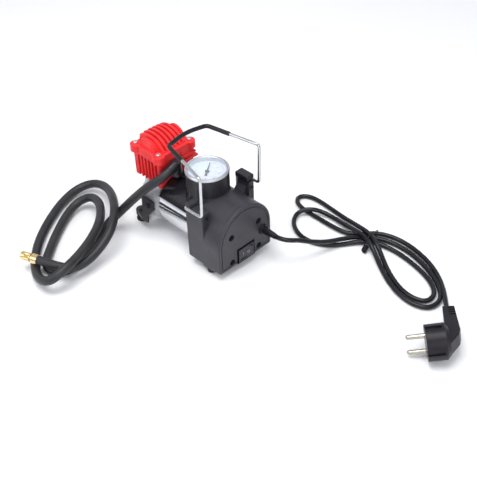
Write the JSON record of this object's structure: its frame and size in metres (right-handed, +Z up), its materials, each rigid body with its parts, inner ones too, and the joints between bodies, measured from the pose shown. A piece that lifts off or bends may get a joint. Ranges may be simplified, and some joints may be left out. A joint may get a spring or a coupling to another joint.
{
  "type": "portable tire inflator",
  "caption": "Compact piston air compressor for tyres: motor and finned pump in line, top gauge, folding wire handle, air hose with screw-on nozzle, mains lead with angled plug.",
  "frame": {"origin": "on the standing surface, under the middle of the machine without its hose and lead", "axes": "+Z up, +Y from the switch end towards the pump end, +X to the side where the lead leaves"},
  "size_m": [0.3383, 0.5056, 0.1394],
  "materials": {
    "black_plastic": "fine moulded texture",
    "black_gloss": "smooth",
    "black_metal": "satin powder coat",
    "chrome_can": "bright nickel-plated steel",
    "chrome_wire": "polished",
    "cast_grey": "as cast",
    "red_cast": "semi-gloss red paint over a casting",
    "steel": "turned",
    "brass": "turned",
    "copper": "enamelled winding",
    "rubber": "matt",
    "cord_rubber": "satin jacket",
    "white_dial": "printed card",
    "clear": "clear",
    "magnet": "matt",
    "board": "laminate",
    "gasket": "pressed fibre"
  },
  "bodies": {
    "pump_unit": {"air_hose": "cord_rubber", "bracket_screws": "steel", "brush_holders": "brass", "cable_gland": "rubber", "cord_tie": "black_gloss", "crankcase": "cast_grey", "crankcase_cover": "cast_grey", "crankcase_screws": "steel", "cylinder_block": "red_cast", "cylinder_head": "red_cast", "cylinder_liner": "steel", "end_bell": "cast_grey", "foot_bracket": "black_metal", "front_feet": "rubber", "gauge_bezel": "chrome_wire", "gauge_case": "black_plastic", "gauge_dial": "white_dial", "gauge_feed_pipe": "brass", "gauge_lens": "clear", "gauge_movement": "brass", "gauge_stem": "brass", "head_screws": "steel", "hook_bracket": "black_plastic", "hose_elbow": "black_gloss", "hose_ferrule": "brass", "housing_screws": "black_metal", "housing_shell": "black_plastic", "motor_bolts": "steel", "motor_brushes": "magnet", "motor_can": "chrome_can", "motor_end_cap": "black_plastic", "motor_magnets": "magnet", "nozzle_stem": "brass", "plug_body": "black_gloss", "plug_pins": "chrome_wire", "power_cord": "cord_rubber", "rear_cover": "black_plastic", "rear_feet": "rubber", "rectifier_board": "board", "saddle_cover": "black_plastic", "shaft_bearings": "steel", "switch_body": "black_gloss", "switch_terminals": "brass", "valve_plate": "gasket"},
    "carry_handle": {"handle_frame": "chrome_wire", "handle_sleeve": "rubber"},
    "rocker": {"switch_rocker": "black_gloss"},
    "needle": {"gauge_needle": "black_metal"},
    "crankshaft": {"motor_shaft": "steel", "armature_core": "steel", "armature_windings": "copper", "commutator": "copper", "crank_disc": "steel", "crank_pin": "steel"},
    "rod": {"connecting_rod": "cast_grey", "wrist_pin": "steel"},
    "piston_unit": {"piston": "cast_grey", "piston_seal": "rubber"},
    "nozzle_nut": {"nozzle_collar": "brass"}
  },
  "joints": [
    {"name": "handle_fold", "type": "hinge", "parent": "pump_unit", "child": "carry_handle", "pos_m": [0, -0.031, 0.0805], "axis": [1, 0, 0], "range_deg": [-18, 90]},
    {"name": "switch_rock", "type": "hinge", "parent": "pump_unit", "child": "rocker", "pos_m": [0, -0.075, 0.0193], "axis": [0, 0, 1], "range_deg": [0, 20]},
    {"name": "needle_turn", "type": "hinge", "parent": "pump_unit", "child": "needle", "pos_m": [0, -0.0214, 0.101], "axis": [0, 0, 1], "range_deg": [-270, 0], "stiffness_Nm_per_rad": 0.0002},
    {"name": "motor_spin", "type": "hinge", "parent": "pump_unit", "child": "crankshaft", "pos_m": [0, -0.008, 0.041], "axis": [0, 1, 0], "continuous": true},
    {"name": "rod_swing", "type": "hinge", "parent": "crankshaft", "child": "rod", "pos_m": [0, 0.051, 0.047], "axis": [0, 1, 0], "continuous": true},
    {"name": "piston_slide", "type": "slide", "parent": "pump_unit", "child": "piston_unit", "axis": [0, 0, 1], "range_m": [-0.012, 0]},
    {"name": "nozzle_nut_turn", "type": "hinge", "parent": "pump_unit", "child": "nozzle_nut", "pos_m": [-0.17266, 0.09393, 0.0185], "axis": [-0.3511, 0.9363, 0], "continuous": true}
  ],
  "couplings": [
    {"joint": "rod_swing", "follows": "motor_spin", "ratio": -1}
  ]
}
